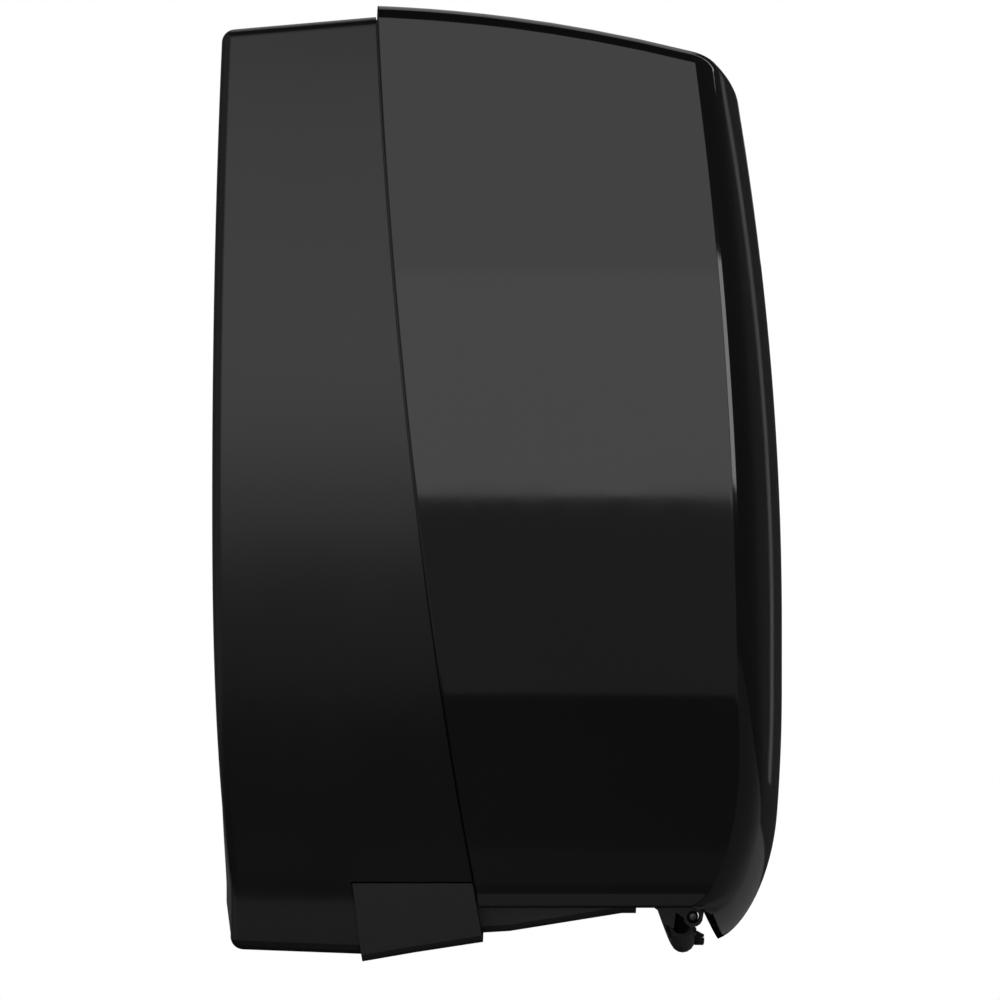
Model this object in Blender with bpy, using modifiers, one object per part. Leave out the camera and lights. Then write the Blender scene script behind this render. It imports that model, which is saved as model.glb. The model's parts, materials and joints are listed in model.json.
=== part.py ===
"""Wall mounted dispenser for a roll of paper towel, with a hinged cover, roll holder, roller drive, tear bar.

Metres, +Z up. The wall is the plane Y = 0 and the front faces -Y, so "depth" below means the distance in
front of the wall, which is -Y. X = 0 is the middle of the width. Left is -X.
"""

import math

import bmesh
import bpy
from mathutils import Matrix, Vector

# Outer form shared by the housing and the cover.
HALF_WIDTH = 0.166  # at mid height
TOP_NARROWING = 0.014  # by which a side leans in at TOP_HEIGHT
TOP_HEIGHT = 0.170
SKIRT_NARROWING = 0.024  # by which a side leans in at SKIRT_HEIGHT and below
SKIRT_HEIGHT = -0.1395
SKIRT_POWER = 2.5

# Front cover.
COVER_WALL = 0.0026
COVER_DEPTH = 0.218  # front of the cover at FRONT_PEAK_HEIGHT
FRONT_ARC = 0.46  # radius of the front seen from above
FRONT_PEAK_HEIGHT = -0.050
FRONT_UPPER_ARC = 1.24  # radius of the front seen from the side, above the peak
FRONT_LOWER_START = -0.075
FRONT_LOWER_ARC = 0.625
ROLL_HEIGHT = 0.050  # the lower lip rolls under on a quarter ellipse
ROLL_DEPTH = 0.021
ROLL_END = math.radians(76.0)
RIM_HEIGHT = -0.1845  # lower rim at the middle
RIM_ARC = 0.27
CORNER_ON_SIDE = 0.0055  # the vertical corner leaves the side this far before the sharp corner
CORNER_ON_FRONT = 0.011
TOP_EDGE_HEIGHT = 0.1761  # side edge of the top, near the wall
TOP_CROWN_ARC = 1.0
TOP_CROWN_HALF = 0.148
TOP_SLOPE = 0.0245
TOP_FALL = 0.98
TOP_START = 0.050
TOP_FILLET = 0.0053
REAR_EDGE_BOW = 0.002
REAR_LIP = 0.0046

# Parting line between housing and cover: depth as a function of height.
PART_DEPTH = 0.0714
PART_SLOPE = -0.1174
PART_CURVE = 0.19
PART_GAP = 0.0006

# Rear housing.
HOUSING_WALL = 0.0028
HOUSING_INSET = 0.001  # the cover stands this proud of the housing's side
HOUSING_FILLET = 0.0045
HOUSING_TOP = 0.1672
HOUSING_TOP_SLOPE = 0.0689
HOUSING_CROWN_HALF = 0.1455
HOUSING_BOTTOM = -0.1623
HOUSING_BOTTOM_SLOPE = 0.050
BACK_FLAT_INSET = 0.014  # the flat wall face ends this far inside the outline
TOP_RELIEF = 0.0016
SKIRT_RELIEF = 0.0029
FLANGE_STEP = 0.0034
FLANGE_TOP_STEP = 0.0008
FLANGE_LENGTH = 0.010
FLANGE_BOTTOM = -0.097

# Lower chassis.
CHASSIS_TOP = -0.1375
CHASSIS_HALF = 0.1425
CHASSIS_WALL = 0.0025
CHASSIS_REAR = 0.0474
CHASSIS_STEP_HALF = 0.1325
CHASSIS_FRONT = 0.150
CHEEK_TOP = -0.128
CHASSIS_FILLET = 0.003

# Axes, as (depth, height).
COVER_HINGE = (0.118, -0.138)
DRIVE_AXIS = (0.124, -0.112)
PINCH_AXIS = (0.1481, -0.1032)
PINCH_PIVOT = (0.1392, -0.0788)  # at a right angle to the line of centres, so that the gears part squarely
ROLL_AXIS = (0.109, 0.060)
GUIDE_AXIS = (0.1730, -0.1568)

# Roller drive.
FRAME_IN = 0.108
FRAME_OUT = 0.111
SHAFT_RADIUS = 0.004
CORE_RADIUS = 0.0135
GRIP_RADIUS = 0.016
PINCH_RADIUS = 0.009
PINCH_SHAFT_RADIUS = 0.0025
RUN_GAP = 0.0003
DRIVE_TEETH = 32
PINCH_TEETH = 18
ARM_INSIDE = 0.1038  # inner face of the pinch arms
GEAR_X = -0.1158
GEAR_WIDTH = 0.006
FEED_WHEEL_RADIUS = 0.022
FEED_WHEEL_X = 0.1175

# Tear bar: the line of tooth tips.
TIP_DEPTH = 0.1849
TIP_PLAN_ARC = 0.75
TIP_HEIGHT = -0.187
TIP_SMILE_ARC = 0.23
BAR_HALF = 0.1077
TOOTH_PITCH = 0.0089
TOOTH_LENGTH = 0.0033
BAR_REAR = -0.0130  # rear face of the bar, from the line of tips
BAR_REAR_TOP = 0.0020
BAR_FRONT_TOP = -0.1602  # height of the straight top edge of the front wall
BLADE_THICKNESS = 0.0009

# Roll holder.
ARM_IN = 0.1045
ARM_OUT = 0.1075
HUB_PIN_RADIUS = 0.003
ARM_PIVOT_X = -0.1105
ARM_PIVOT_DEPTH = 0.014
BACK_FACE = 0.0034  # pieces fixed to the inside of the back start here

# Lock, on the middle of the cover's top.
LOCK_DEPTH = 0.088
LOCK_LENGTH = 0.020
LOCK_RADIUS = 0.008
POST_OFFSET = 0.012

MATERIALS = {
    "satin_black": ((0.012, 0.012, 0.013, 1.0), 0.42, 0.0),
    "gloss_black": ((0.006, 0.006, 0.007, 1.0), 0.08, 0.0),
    "chassis_black": ((0.015, 0.015, 0.016, 1.0), 0.50, 0.0),
    "grey_plastic": ((0.20, 0.20, 0.21, 1.0), 0.50, 0.0),
    "gear_plastic": ((0.62, 0.61, 0.57, 1.0), 0.45, 0.0),
    "rubber": ((0.030, 0.030, 0.032, 1.0), 0.80, 0.0),
    "steel": ((0.60, 0.60, 0.61, 1.0), 0.30, 1.0),
    "spring_steel": ((0.45, 0.45, 0.46, 1.0), 0.35, 1.0),
    "bronze": ((0.45, 0.28, 0.12, 1.0), 0.38, 1.0),
    "zinc": ((0.55, 0.55, 0.56, 1.0), 0.35, 1.0),
}


def clear_scene():
    for obj in list(bpy.data.objects):
        bpy.data.objects.remove(obj, do_unlink=True)


def collection(name, hidden=False):
    made = bpy.data.collections.new(name)
    bpy.context.scene.collection.children.link(made)
    made.hide_render = hidden
    return made


def at(x, depth, z):
    return Vector((x, -depth, z))


def material(name):
    made = bpy.data.materials.get(name)
    if made is None:
        colour, roughness, metallic = MATERIALS[name]
        made = bpy.data.materials.new(name)
        made.use_nodes = True
        shader = made.node_tree.nodes["Principled BSDF"]
        shader.inputs["Base Color"].default_value = colour
        shader.inputs["Roughness"].default_value = roughness
        shader.inputs["Metallic"].default_value = metallic
    return made


def add(name, data, slot=None):
    """Links an object to the dispenser, or to the cutters when it has no material."""
    obj = bpy.data.objects.new(name, data)
    if slot is None:
        cutters.objects.link(obj)
        obj.hide_render = True
        obj.display_type = "WIRE"
    else:
        parts.objects.link(obj)
        obj.data.materials.append(material(slot))
    return obj


def mesh_from(name, bm):
    mesh = bpy.data.meshes.new(name)
    bm.to_mesh(mesh)
    bm.free()
    return mesh


def shade(obj, angle=35.0):
    obj.data.shade_smooth()
    obj.data.set_sharp_from_angle(angle=math.radians(angle))


def skin(rows, closed=False, cap=False):
    """A surface through rows of points, its faces pointing out; cap fills the first row."""
    bm = bmesh.new()
    grid = [[bm.verts.new(point) for point in row] for row in rows]
    count = len(rows[0])
    last = count if closed else count - 1
    for lower, upper in zip(grid, grid[1:]):
        for c in range(last):
            n = (c + 1) % count
            bm.faces.new((lower[c], lower[n], upper[n], upper[c]))
    if cap:
        bm.faces.new(grid[0])
    bmesh.ops.remove_doubles(bm, verts=bm.verts, dist=1e-6)
    bmesh.ops.recalc_face_normals(bm, faces=bm.faces)
    return bm


def thicken(obj, wall):
    solid = obj.modifiers.new("wall", "SOLIDIFY")
    solid.thickness = wall
    solid.offset = -1.0
    solid.use_even_offset = True
    solid.use_quality_normals = True


def boolean(obj, other, operation):
    made = obj.modifiers.new(operation.lower(), "BOOLEAN")
    made.operation = operation
    made.object = other
    made.solver = "EXACT"


def cut(obj, cutter):
    boolean(obj, cutter, "DIFFERENCE")


def unite(obj, other):
    boolean(obj, other, "UNION")


def box(name, low, high, slot=None):
    """A box between two corners, each (x, depth, z)."""
    low, high = at(*low), at(*high)
    bm = bmesh.new()
    bmesh.ops.create_cube(bm, size=1.0)
    size = [abs(a - b) for a, b in zip(low, high)]
    bmesh.ops.scale(bm, vec=size, verts=bm.verts)
    obj = add(name, mesh_from(name, bm), slot)
    obj.location = (low + high) / 2
    return obj


def rod(name, start, end, radius, slot=None, sides=20):
    """A round bar between two points, each (x, depth, z)."""
    start, end = at(*start), at(*end)
    bm = bmesh.new()
    length = (end - start).length
    size = {"radius1": radius, "radius2": radius, "depth": length}
    bmesh.ops.create_cone(bm, cap_ends=True, segments=sides, **size)
    obj = add(name, mesh_from(name, bm), slot)
    obj.matrix_world = placed((start + end) / 2, end - start)
    if slot:
        shade(obj)
    return obj


def placed(location, axis):
    """The matrix that carries local +Z onto an axis through a point."""
    turn = Vector((0, 0, 1)).rotation_difference(Vector(axis).normalized())
    return Matrix.Translation(location) @ turn.to_matrix().to_4x4()


def turned(name, profile, location, axis, slot=None, sides=24, loop=True):
    """A turned shape: profile is (radius, height along the axis), run top to bottom down its outer side."""
    bm = bmesh.new()
    verts = [bm.verts.new((radius, 0.0, height)) for radius, height in profile]
    pairs = list(zip(verts, verts[1:]))
    if loop:
        pairs.append((verts[-1], verts[0]))
    for pair in pairs:
        bm.edges.new(pair)
    obj = add(name, mesh_from(name, bm), slot)
    screw = obj.modifiers.new("turn", "SCREW")
    screw.steps = sides
    screw.render_steps = sides
    screw.use_merge_vertices = True
    screw.merge_threshold = 0.00001
    screw.use_smooth_shade = True
    obj.matrix_world = placed(at(*location), axis)
    return obj


def tube(name, inner, outer, low, high, location, slot=None, sides=24):
    """A ring along X between low and high."""
    _, depth, z = location
    profile = [(outer, high), (outer, low), (inner, low), (inner, high)]
    return turned(name, profile, (0.0, depth, z), (1, 0, 0), slot, sides)


def circle(centre, radius, count=24):
    angles = [math.tau * k / count for k in range(count)]
    return [(centre[0] + radius * math.cos(a), centre[1] + radius * math.sin(a)) for a in angles]


def flat_curve(name, loops, thickness):
    curve = bpy.data.curves.new(name, "CURVE")
    curve.dimensions = "2D"
    curve.fill_mode = "BOTH"
    curve.extrude = thickness / 2
    for loop in loops:
        spline = curve.splines.new("POLY")
        spline.points.add(len(loop) - 1)
        for point, (u, v) in zip(spline.points, loop):
            point.co = (u, v, 0.0, 1.0)
        spline.use_cyclic_u = True
    return curve


def side_plate(name, loops, low, high, slot=None):
    """Flat loops in the (depth, height) plane, the first one outside, thick from low to high along X."""
    obj = add(name, flat_curve(name, loops, high - low), slot)
    basis = Matrix(((0, 0, -1), (-1, 0, 0), (0, 1, 0)))
    obj.matrix_world = Matrix.Translation(((low + high) / 2, 0, 0)) @ basis.to_4x4()
    return obj


def as_mesh(obj, slot=None):
    """Swaps a curve object for a closed mesh object of the same name, so that it can be cut or joined."""
    name = obj.name
    graph = bpy.context.evaluated_depsgraph_get()
    mesh = bpy.data.meshes.new_from_object(obj.evaluated_get(graph))
    matrix = obj.matrix_world.copy()
    bpy.data.objects.remove(obj, do_unlink=True)
    bm = bmesh.new()
    bm.from_mesh(mesh)
    bmesh.ops.remove_doubles(bm, verts=bm.verts, dist=1e-6)
    bmesh.ops.recalc_face_normals(bm, faces=bm.faces)
    bm.to_mesh(mesh)
    bm.free()
    mesh.materials.clear()
    made = add(name, mesh, slot)
    made.name = name
    made.matrix_world = matrix
    return made


def helix(name, centre, along, radius, pitch, turns, wire, slot, legs=()):
    """A coil spring of round wire on an axis of the scene; its end runs on through legs."""
    steps = 12
    centre, along = at(*centre), Vector(along)
    first = Vector((0, -1, 0))
    second = along.cross(first)
    points = []
    for k in range(int(turns * steps) + 1):
        angle = math.tau * k / steps
        around = first * math.cos(angle) + second * math.sin(angle)
        points.append(centre + around * radius + along * (pitch * k / steps))
    points.extend(at(*leg) for leg in legs)
    curve = bpy.data.curves.new(name, "CURVE")
    curve.dimensions = "3D"
    curve.bevel_depth = wire / 2
    curve.bevel_resolution = 1
    curve.use_fill_caps = True
    spline = curve.splines.new("POLY")
    spline.points.add(len(points) - 1)
    for point, co in zip(spline.points, points):
        point.co = (*co, 1.0)
    return add(name, curve, slot)


def blend(a, b, t):
    return a + (b - a) * t


# ---- outer form ----


def half_width(z):
    if z >= 0:
        return HALF_WIDTH - TOP_NARROWING * (z / TOP_HEIGHT) ** 2
    fall = min(z / SKIRT_HEIGHT, 1.0)
    return HALF_WIDTH - SKIRT_NARROWING * fall**SKIRT_POWER


def part_depth(z):
    return PART_DEPTH + PART_SLOPE * z + PART_CURVE * z * z


def rim_height(x):
    return RIM_HEIGHT + x * x / (2 * RIM_ARC)


def top_height(x, depth):
    run = depth - TOP_START
    crown = (TOP_CROWN_HALF**2 - x * x) / (2 * TOP_CROWN_ARC)
    return TOP_EDGE_HEIGHT + crown - TOP_SLOPE * run - TOP_FALL * run * run


def roll_under(height_over_rim):
    up = min(max(height_over_rim / ROLL_HEIGHT, 0.0), 1.0)
    return ROLL_DEPTH * (1 - math.sqrt(1 - (1 - up) ** 2))


def front_depth(x, z):
    sag = 0.0
    if z > FRONT_PEAK_HEIGHT:
        sag = (z - FRONT_PEAK_HEIGHT) ** 2 / (2 * FRONT_UPPER_ARC)
    elif z < FRONT_LOWER_START:
        sag = (z - FRONT_LOWER_START) ** 2 / (2 * FRONT_LOWER_ARC)
    return COVER_DEPTH - x * x / (2 * FRONT_ARC) - sag - roll_under(z - rim_height(x))


# ---- front cover ----

SIDE_STEPS = 5
CORNER_STEPS = 5
FRONT_STEPS = 12
COLUMNS = 2 * (SIDE_STEPS + CORNER_STEPS) + FRONT_STEPS + 1


def cover_plan(z, column):
    """Where a column of the cover's wall stands at height z. Columns run left, front, right."""
    mirrored = column > COLUMNS // 2
    if mirrored:
        column = COLUMNS - 1 - column
    half = half_width(z)
    corner = front_depth(half, z)
    side_end = corner - CORNER_ON_SIDE
    front_half = half - CORNER_ON_FRONT
    if column <= SIDE_STEPS:
        x, depth = half, blend(part_depth(z), side_end, column / SIDE_STEPS)
    elif column <= SIDE_STEPS + CORNER_STEPS:
        t = (column - SIDE_STEPS) / CORNER_STEPS
        x = half - CORNER_ON_FRONT * t * t
        ends = (1 - t) ** 2 * side_end + t * t * front_depth(front_half, z)
        depth = ends + 2 * t * (1 - t) * corner
    else:
        t = (column - SIDE_STEPS - CORNER_STEPS) / (FRONT_STEPS / 2)
        x = front_half * (1 - t)
        depth = front_depth(x, z)
    return (x if mirrored else -x), depth


def cover_inward(z, column):
    """The plan direction into the cover at a column."""
    ahead = cover_plan(z, min(column + 1, COLUMNS - 1))
    behind = cover_plan(z, max(column - 1, 0))
    if column in (0, COLUMNS - 1):
        return Vector((1.0 if column == 0 else -1.0, 0.0))
    along = Vector((ahead[0] - behind[0], ahead[1] - behind[1])).normalized()
    return Vector((along.y, -along.x))


def height_over_rim(column, rise):
    """The height that stands a given rise above the column's own rim."""
    z = -0.15
    for _ in range(6):
        z = rim_height(cover_plan(z, column)[0]) + rise
    return z


def wall_top(column):
    z = 0.16
    for _ in range(8):
        z = top_height(*cover_plan(z, column)) - TOP_FILLET
    return z


def cover_rows():
    wall_steps = 9
    roll_angles = [ROLL_END * k / 7 for k in range(7, -1, -1)]
    tops = [wall_top(c) for c in range(COLUMNS)]
    rows = []
    for angle in roll_angles:
        rise = ROLL_HEIGHT * (1 - math.sin(angle))
        heights = [height_over_rim(c, rise) for c in range(COLUMNS)]
        rows.append([at(*cover_plan(z, c), z) for c, z in enumerate(heights)])
    starts = [height_over_rim(c, ROLL_HEIGHT) for c in range(COLUMNS)]
    for k in range(1, wall_steps + 1):
        heights = [blend(starts[c], tops[c], k / wall_steps) for c in range(COLUMNS)]
        rows.append([at(*cover_plan(z, c), z) for c, z in enumerate(heights)])
    inner = []
    for angle in (math.radians(30), math.radians(60), math.radians(90)):
        inner = []
        for c in range(COLUMNS):
            foot = Vector(cover_plan(tops[c], c))
            plan = foot + cover_inward(tops[c], c) * TOP_FILLET * (1 - math.cos(angle))
            inner.append((plan.x, plan.y))
        drop = TOP_FILLET * (1 - math.sin(angle))
        rows.append([at(x, depth, top_height(x, depth) - drop) for x, depth in inner])
    rear_half, rear_depth = -inner[0][0], inner[0][1]
    rear = []
    for c in range(COLUMNS):
        x = blend(-rear_half, rear_half, c / (COLUMNS - 1))
        rear.append((x, rear_depth - REAR_EDGE_BOW * (1 - (x / rear_half) ** 2)))
    top_steps = 5
    for k in range(1, top_steps + 1):
        t = k / top_steps
        plan = [(blend(a[0], b[0], t), blend(a[1], b[1], t)) for a, b in zip(inner, rear)]
        rows.append([at(x, depth, top_height(x, depth)) for x, depth in plan])
    rows.append([at(x, depth, top_height(x, depth) - REAR_LIP) for x, depth in rear])
    return rows


def lock_matrix():
    """The lock's frame: its origin on the cover's top and local +Z out of the surface."""
    slope = TOP_SLOPE + 2 * TOP_FALL * (LOCK_DEPTH - TOP_START)
    normal = Vector((0, -slope, 1)).normalized()
    return placed(at(0, LOCK_DEPTH, top_height(0, LOCK_DEPTH)), normal)


def front_cover():
    obj = add("front_cover", mesh_from("front_cover", skin(cover_rows())), "gloss_black")
    shade(obj, 50.0)
    thicken(obj, COVER_WALL)
    depth, z = COVER_HINGE
    boss_in, boss_out, boss_radius = 0.1340, 0.1416, 0.0065
    bore_radius, bore_end = 0.0028, 0.1403
    for side in (-1, 1):
        label = "left" if side < 0 else "right"
        inner, outer = (side * boss_in, depth, z), (side * boss_out, depth, z)
        unite(obj, rod(f"boss_{label}", inner, outer, boss_radius))
    for side in (-1, 1):
        label = "left" if side < 0 else "right"
        mouth, end = (side * (boss_in - 0.002), depth, z), (side * bore_end, depth, z)
        cut(obj, rod(f"bore_{label}", mouth, end, bore_radius))
    hole_profile = [(0, 0.01), (0.0102, 0.01), (0.0102, -0.01), (0, -0.01)]
    hole = turned("lock_hole", hole_profile, (0, 0, 0), (0, 0, 1), loop=False)
    hole.matrix_world = lock_matrix()
    cut(obj, hole)


def hinge_pins():
    depth, z = COVER_HINGE
    for side in (-1, 1):
        label = "left" if side < 0 else "right"
        rod(f"hinge_pin_{label}", (side * 0.1285, depth, z), (side * 0.1400, depth, z), 0.0025, "steel")


# ---- rear housing ----


def housing_top(x, depth):
    crown = (HOUSING_CROWN_HALF**2 - x * x) / (2 * TOP_CROWN_ARC)
    return HOUSING_TOP + crown + HOUSING_TOP_SLOPE * depth


def relief(z):
    """How far the rear edge of a side stands off the wall."""
    if z >= 0:
        return TOP_RELIEF * min(z / TOP_HEIGHT, 1.0) ** 2
    return SKIRT_RELIEF * min(z / SKIRT_HEIGHT, 1.0) ** SKIRT_POWER


def housing_ring(depth_of, side_inset, top_inset, bow=0.0):
    """The housing's outline as points; depth_of gives each point's depth from its height."""
    side_steps, flat_steps, corner_steps = 12, 10, 4
    nominal = depth_of(0.0)
    radius = max(HOUSING_FILLET - side_inset, 0.001)
    low = HOUSING_BOTTOM - HOUSING_BOTTOM_SLOPE * min(nominal, 0.06) + top_inset
    outline = []
    corner_x = half_width(TOP_HEIGHT) - HOUSING_INSET - side_inset - radius
    high = housing_top(corner_x, nominal) - top_inset
    low_x = half_width(SKIRT_HEIGHT) - HOUSING_INSET - side_inset - radius
    for k in range(side_steps + 1):
        z = blend(low + radius, high - radius, k / side_steps)
        outline.append((-(half_width(z) - HOUSING_INSET - side_inset), z))
    start_x = -outline[-1][0] - radius
    for k in range(1, corner_steps):
        angle = math.pi / 2 * k / corner_steps
        outline.append((-start_x - radius * math.cos(angle), high - radius + radius * math.sin(angle)))
    for k in range(flat_steps // 2 + 1):
        x = blend(-start_x, 0.0, k / (flat_steps // 2))
        outline.append((x, housing_top(x, nominal) - top_inset))
    for k in range(flat_steps // 2):
        outline.append((blend(0.0, -low_x, k / (flat_steps // 2)), low))
    corner = [(-low_x, low)]
    for k in range(1, corner_steps):
        angle = math.pi / 2 * k / corner_steps
        corner.append((-low_x - radius * math.sin(angle), low + radius - radius * math.cos(angle)))
    half = len(outline) - flat_steps // 2
    left_up, bottom = outline[:half], outline[half:]
    loop = left_up + [(-x, z) for x, z in reversed(left_up[:-1])]
    loop += [(-x, z) for x, z in reversed(corner)] + [(-x, z) for x, z in reversed(bottom[1:])]
    loop += bottom + corner
    return [at(x, depth_of(z) - bow * edge_bow(x, z), z) for x, z in loop]


def edge_bow(x, z):
    """How far the top's parting edge bows back toward the middle."""
    return REAR_EDGE_BOW * max(0.0, 1 - (x / TOP_CROWN_HALF) ** 2) if z > TOP_HEIGHT else 0.0


def housing_rows():
    def side(share):
        return lambda z: blend(relief(z) + HOUSING_FILLET, part_depth(z) - PART_GAP, share)

    rows = [housing_ring(lambda z: 0.0, BACK_FLAT_INSET, BACK_FLAT_INSET)]
    for k in range(4):
        angle = math.pi / 2 * k / 3
        inset = HOUSING_FILLET * (1 - math.sin(angle))
        rise = HOUSING_FILLET * (1 - math.cos(angle))
        rows.append(housing_ring(lambda z, rise=rise: relief(z) + rise, inset, inset))
    for share in (0.5, 1.0):
        rows.append(housing_ring(side(share), 0.0, 0.0, share))
    rows.append(housing_ring(side(1.0), FLANGE_STEP, FLANGE_TOP_STEP, 1.0))
    rows.append(housing_ring(lambda z: part_depth(z) + FLANGE_LENGTH, FLANGE_STEP, FLANGE_TOP_STEP, 1.0))
    return rows


def keyhole_cutters(obj):
    """Four screw holes in the back: keyholes above, plain holes below."""
    hole_x, upper, lower = 0.085, 0.130, -0.095
    for side in (-1, 1):
        label = "left" if side < 0 else "right"
        x = side * hole_x
        cut(obj, rod(f"key_head_{label}", (x, -0.01, upper), (x, 0.01, upper), 0.0050))
        cut(obj, box(f"key_slot_{label}", (x - 0.0022, -0.01, upper), (x + 0.0022, 0.01, upper + 0.011)))
        cut(obj, rod(f"low_hole_{label}", (x, -0.01, lower), (x, 0.01, lower), 0.0027))


def rear_housing():
    mesh = mesh_from("rear_housing", skin(housing_rows(), closed=True, cap=True))
    obj = add("rear_housing", mesh, "satin_black")
    shade(obj, 50.0)
    thicken(obj, HOUSING_WALL)
    below = CHASSIS_TOP + 0.0004
    mouth = [(CHASSIS_REAR - 0.0004, below), (0.0514, -0.1700), (0.2, -0.1700), (0.2, below)]
    cut(obj, as_mesh(side_plate("chassis_mouth", [mouth], -0.2, 0.2)))
    edge = [(part_depth(z) + 0.0001, z) for z in (below - 0.0004, -0.120, -0.108, FLANGE_BOTTOM)]
    relief_loop = edge + [(0.2, FLANGE_BOTTOM), (0.2, below - 0.0004)]
    cut(obj, as_mesh(side_plate("flange_relief", [relief_loop], -0.2, 0.2)))
    keyhole_cutters(obj)
    cut(obj, screw_holes())


# ---- lower chassis ----


def chassis_floor(depth):
    """Height of the chassis's underside."""
    if depth <= 0.0924:
        run = max(depth - 0.0509, -0.004)
        return -0.1661 + 0.14 * run + 1.3 * run * run
    return min(-0.1595 + 0.16 * (depth - 0.0924), -0.1511)


def chassis_ring(depth_of, half, top, lift):
    """Left cheek, floor and right cheek as one open line of points."""
    cheek_steps, corner_steps = 4, 3
    floor_depth = depth_of(-0.158)
    low = chassis_floor(floor_depth) + lift
    side = []
    for k in range(cheek_steps + 1):
        z = blend(top, low + CHASSIS_FILLET, k / cheek_steps)
        side.append((-half, z))
    for k in range(1, corner_steps + 1):
        angle = math.pi / 2 * k / corner_steps
        inward, drop = 1 - math.cos(angle), 1 - math.sin(angle)
        side.append((-half + CHASSIS_FILLET * inward, low + CHASSIS_FILLET * drop))
    line = side + [(0.0, low)] + [(-x, z) for x, z in reversed(side)]
    return [at(x, depth_of(z), z) for x, z in line]


def lower_chassis():
    def slanted(z):
        return CHASSIS_REAR + 0.125 * (CHASSIS_TOP - z)

    def parting(z):
        return part_depth(z) - PART_GAP

    rows = [
        chassis_ring(slanted, CHASSIS_HALF, CHASSIS_TOP, 0.0),
        chassis_ring(lambda z: 0.070, CHASSIS_HALF, CHASSIS_TOP, 0.0),
        chassis_ring(parting, CHASSIS_HALF, CHASSIS_TOP, 0.0),
        chassis_ring(parting, CHASSIS_STEP_HALF, CHASSIS_TOP, 0.0010),
        chassis_ring(lambda z: 0.104, CHASSIS_STEP_HALF, CHEEK_TOP, 0.0),
        chassis_ring(lambda z: 0.1449, CHASSIS_STEP_HALF, CHEEK_TOP, 0.0),
        chassis_ring(lambda z: CHASSIS_FRONT, CHASSIS_STEP_HALF, CHEEK_TOP, 0.0),
    ]
    obj = add("lower_chassis", mesh_from("lower_chassis", skin(rows)), "chassis_black")
    shade(obj)
    thicken(obj, CHASSIS_WALL)
    depth, z = COVER_HINGE
    cut(obj, rod("pin_hole", (-0.2, depth, z), (0.2, depth, z), 0.0028))


# ---- side frames, chute and tear bar ----


def side_frames():
    lobe = circle(GUIDE_AXIS, 0.0037, 16)
    outline = [
        (0.0970, -0.1542),
        (0.1446, -0.1478),
        (0.1510, -0.1478),
        (0.1600, -0.1545),
        (0.1614, -0.1590),
        (0.1658, -0.1608),
        (0.1664, -0.1550),
        *[lobe[k] for k in (8, 9, 10, 11, 12, 13, 14, 15, 0)],
        (0.1778, -0.1500),
        (0.1760, -0.1400),
        (0.1700, -0.0960),
        (0.1480, -0.0730),
        (0.1440, -0.0710),
        (0.1340, -0.0710),
        (0.1300, -0.0730),
        (0.1000, -0.1000),
        (0.0970, -0.1060),
    ]
    for side in (-1, 1):
        label = "left" if side < 0 else "right"
        holes = [
            circle(DRIVE_AXIS, 0.0078),
            circle(PINCH_AXIS, 0.0065),
            circle(PINCH_PIVOT, PINCH_SHAFT_RADIUS + RUN_GAP),
            circle(GUIDE_AXIS, 0.0024, 16),
        ]
        low, high = sorted((side * FRAME_IN, side * FRAME_OUT))
        side_plate(f"side_frame_{label}", [outline, *holes], low, high, "chassis_black")
    depth, z = GUIDE_AXIS
    end = FRAME_OUT - 0.0005
    profile = [(0, end), (0.0012, end - 0.0002), (0.0021, end - 0.0012), (0.0021, -end + 0.0012)]
    profile += [(0.0012, -end + 0.0002), (0, -end)]
    turned("guide_rod", profile, (0, depth, z), (1, 0, 0), "steel", 16, loop=False)


def tip_line(x):
    """Depth and height of the line of tooth tips."""
    return TIP_DEPTH - x * x / (2 * TIP_PLAN_ARC), TIP_HEIGHT + x * x / (2 * TIP_SMILE_ARC)


def swept(stations, section_at):
    """A closed body through a closed section at each station, offset from the line of tooth tips."""
    rows = []
    for x in stations:
        depth, z = tip_line(x)
        rows.append([at(x, depth + u, z + v) for u, v in section_at(z)])
    bm = skin(rows, closed=True, cap=True)
    bm.verts.ensure_lookup_table()
    bmesh.ops.holes_fill(bm, edges=[edge for edge in bm.edges if edge.is_boundary])
    bmesh.ops.recalc_face_normals(bm, faces=bm.faces)
    return bm


def trough_arc(middle, height, radius, steps):
    """The lower half of a circle, from its front to its rear."""
    angles = [-math.pi * k / steps for k in range(steps + 1)]
    return [(middle + radius * math.cos(a), height + radius * math.sin(a)) for a in angles]


def tear_bar():
    """A trough along the line of tooth tips. Its front wall reaches a straight edge below the guide rod."""
    front, rear, wall, bottom = -TOOTH_LENGTH - 0.0003, BAR_REAR, 0.0013, -0.0035
    middle = (front + rear) / 2
    reach = (front - rear) / 2
    outer = trough_arc(middle, bottom + reach, reach, 8)
    inner = trough_arc(middle, bottom + reach, reach - wall, 6)[::-1]
    rims = (rear, BAR_REAR_TOP), (rear + wall, BAR_REAR_TOP)

    def section_at(z):
        front_top = BAR_FRONT_TOP - z
        return [(front, front_top), *outer, *rims, *inner, (front - wall, front_top)]

    steps = 20
    stations = [blend(-BAR_HALF, BAR_HALF, k / steps) for k in range(steps + 1)]
    obj = add("tear_bar", mesh_from("tear_bar", swept(stations, section_at)), "chassis_black")
    shade(obj)


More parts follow.
